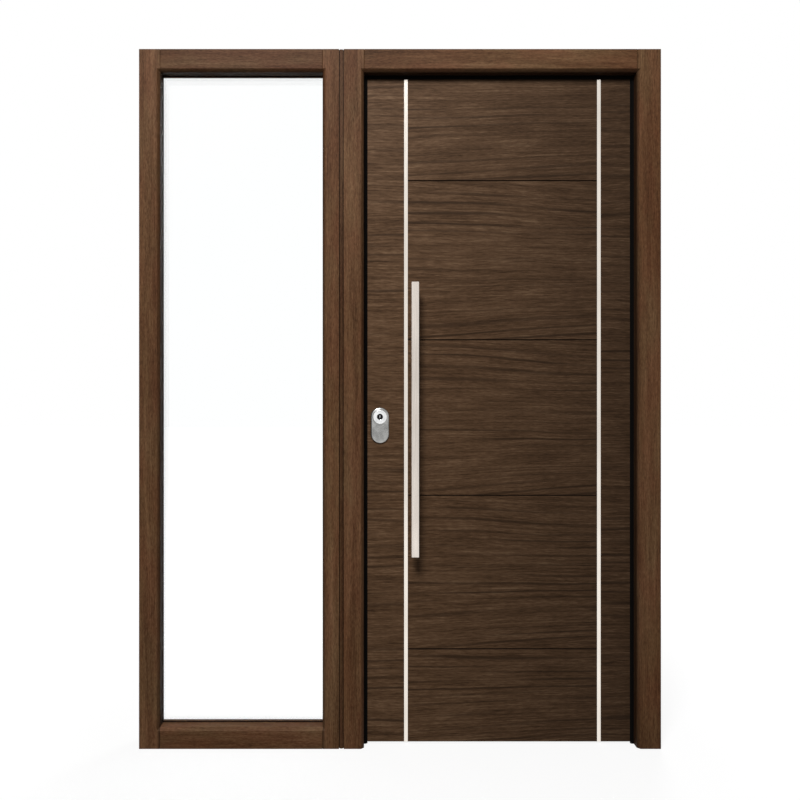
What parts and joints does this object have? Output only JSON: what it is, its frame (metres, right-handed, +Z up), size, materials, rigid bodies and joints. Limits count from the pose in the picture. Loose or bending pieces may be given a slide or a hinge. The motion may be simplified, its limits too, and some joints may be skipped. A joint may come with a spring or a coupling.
{
  "type": "entrance door with fixed glazed sidelight",
  "caption": "Timber entrance door with a veneered leaf, steel inlays and pull bar, hung in a bevelled frame coupled to a fixed double-glazed sidelight.",
  "frame": {"origin": "floor level, on the outer side face of the hinge jamb, in the middle of the frame's depth", "axes": "+X to the right seen from outside, out of the hinge jamb's side; +Y inwards; +Z up"},
  "size_m": [1.566, 0.175, 2.1],
  "materials": {
    "frame_wood": "satin lacquer",
    "leaf_veneer": "satin lacquer",
    "core_board": "raw board",
    "glass": "clear",
    "black_rubber": "matte",
    "dark_spacer": "matte",
    "inlay_steel": "satin",
    "brushed_steel": "brushed",
    "satin_chrome": "satin",
    "hinge_steel": "satin",
    "lock_steel": "satin",
    "dark_steel": "burnished"
  },
  "bodies": {
    "frame": {"hinge_jamb": "frame_wood", "lock_jamb": "frame_wood", "door_head": "frame_wood", "sidelight_outer_stile": "frame_wood", "sidelight_inner_stile": "frame_wood", "sidelight_head": "frame_wood", "sidelight_bottom_rail": "frame_wood", "coupling_strip": "frame_wood", "glazing_bead_left": "frame_wood", "glazing_bead_right": "frame_wood", "glazing_bead_bottom": "frame_wood", "glazing_bead_top": "frame_wood", "door_seal": "black_rubber", "glazing_gasket": "black_rubber", "sidelight_outer_pane": "glass", "sidelight_inner_pane": "glass", "glass_spacer": "dark_spacer", "strike_plate": "lock_steel", "hinge_lower_jamb_half": "hinge_steel", "hinge_middle_jamb_half": "hinge_steel", "hinge_upper_jamb_half": "hinge_steel"},
    "leaf": {"outer_panel": "leaf_veneer", "inner_panel": "leaf_veneer", "leaf_core": "core_board", "lock_lipping": "frame_wood", "hinge_lipping": "frame_wood", "top_lipping": "frame_wood", "bottom_lipping": "frame_wood", "inlay_lock_side": "inlay_steel", "inlay_hinge_side": "inlay_steel", "pull_bar": "brushed_steel", "pull_posts": "brushed_steel", "lock_shield": "satin_chrome", "lock_cylinder": "dark_steel", "lock_case": "lock_steel", "lock_forend": "lock_steel", "lock_bolts": "lock_steel", "thumb_turn_rose": "brushed_steel", "thumb_turn": "brushed_steel", "lever_rose": "brushed_steel", "inside_lever": "brushed_steel", "hinge_lower_leaf_half": "hinge_steel", "hinge_middle_leaf_half": "hinge_steel", "hinge_upper_leaf_half": "hinge_steel"},
    "key_plug": {"key_plug": "dark_steel"}
  },
  "joints": [
    {"name": "leaf_swing", "type": "hinge", "parent": "frame", "child": "leaf", "pos_m": [-0.05775, 0.058, 1.02375], "axis": [0, 0, -1], "range_deg": [0, 105]},
    {"name": "key_turn", "type": "hinge", "parent": "leaf", "child": "key_plug", "pos_m": [-0.8425, -0.016, 0.995], "axis": [0, -1, 0], "continuous": true}
  ]
}
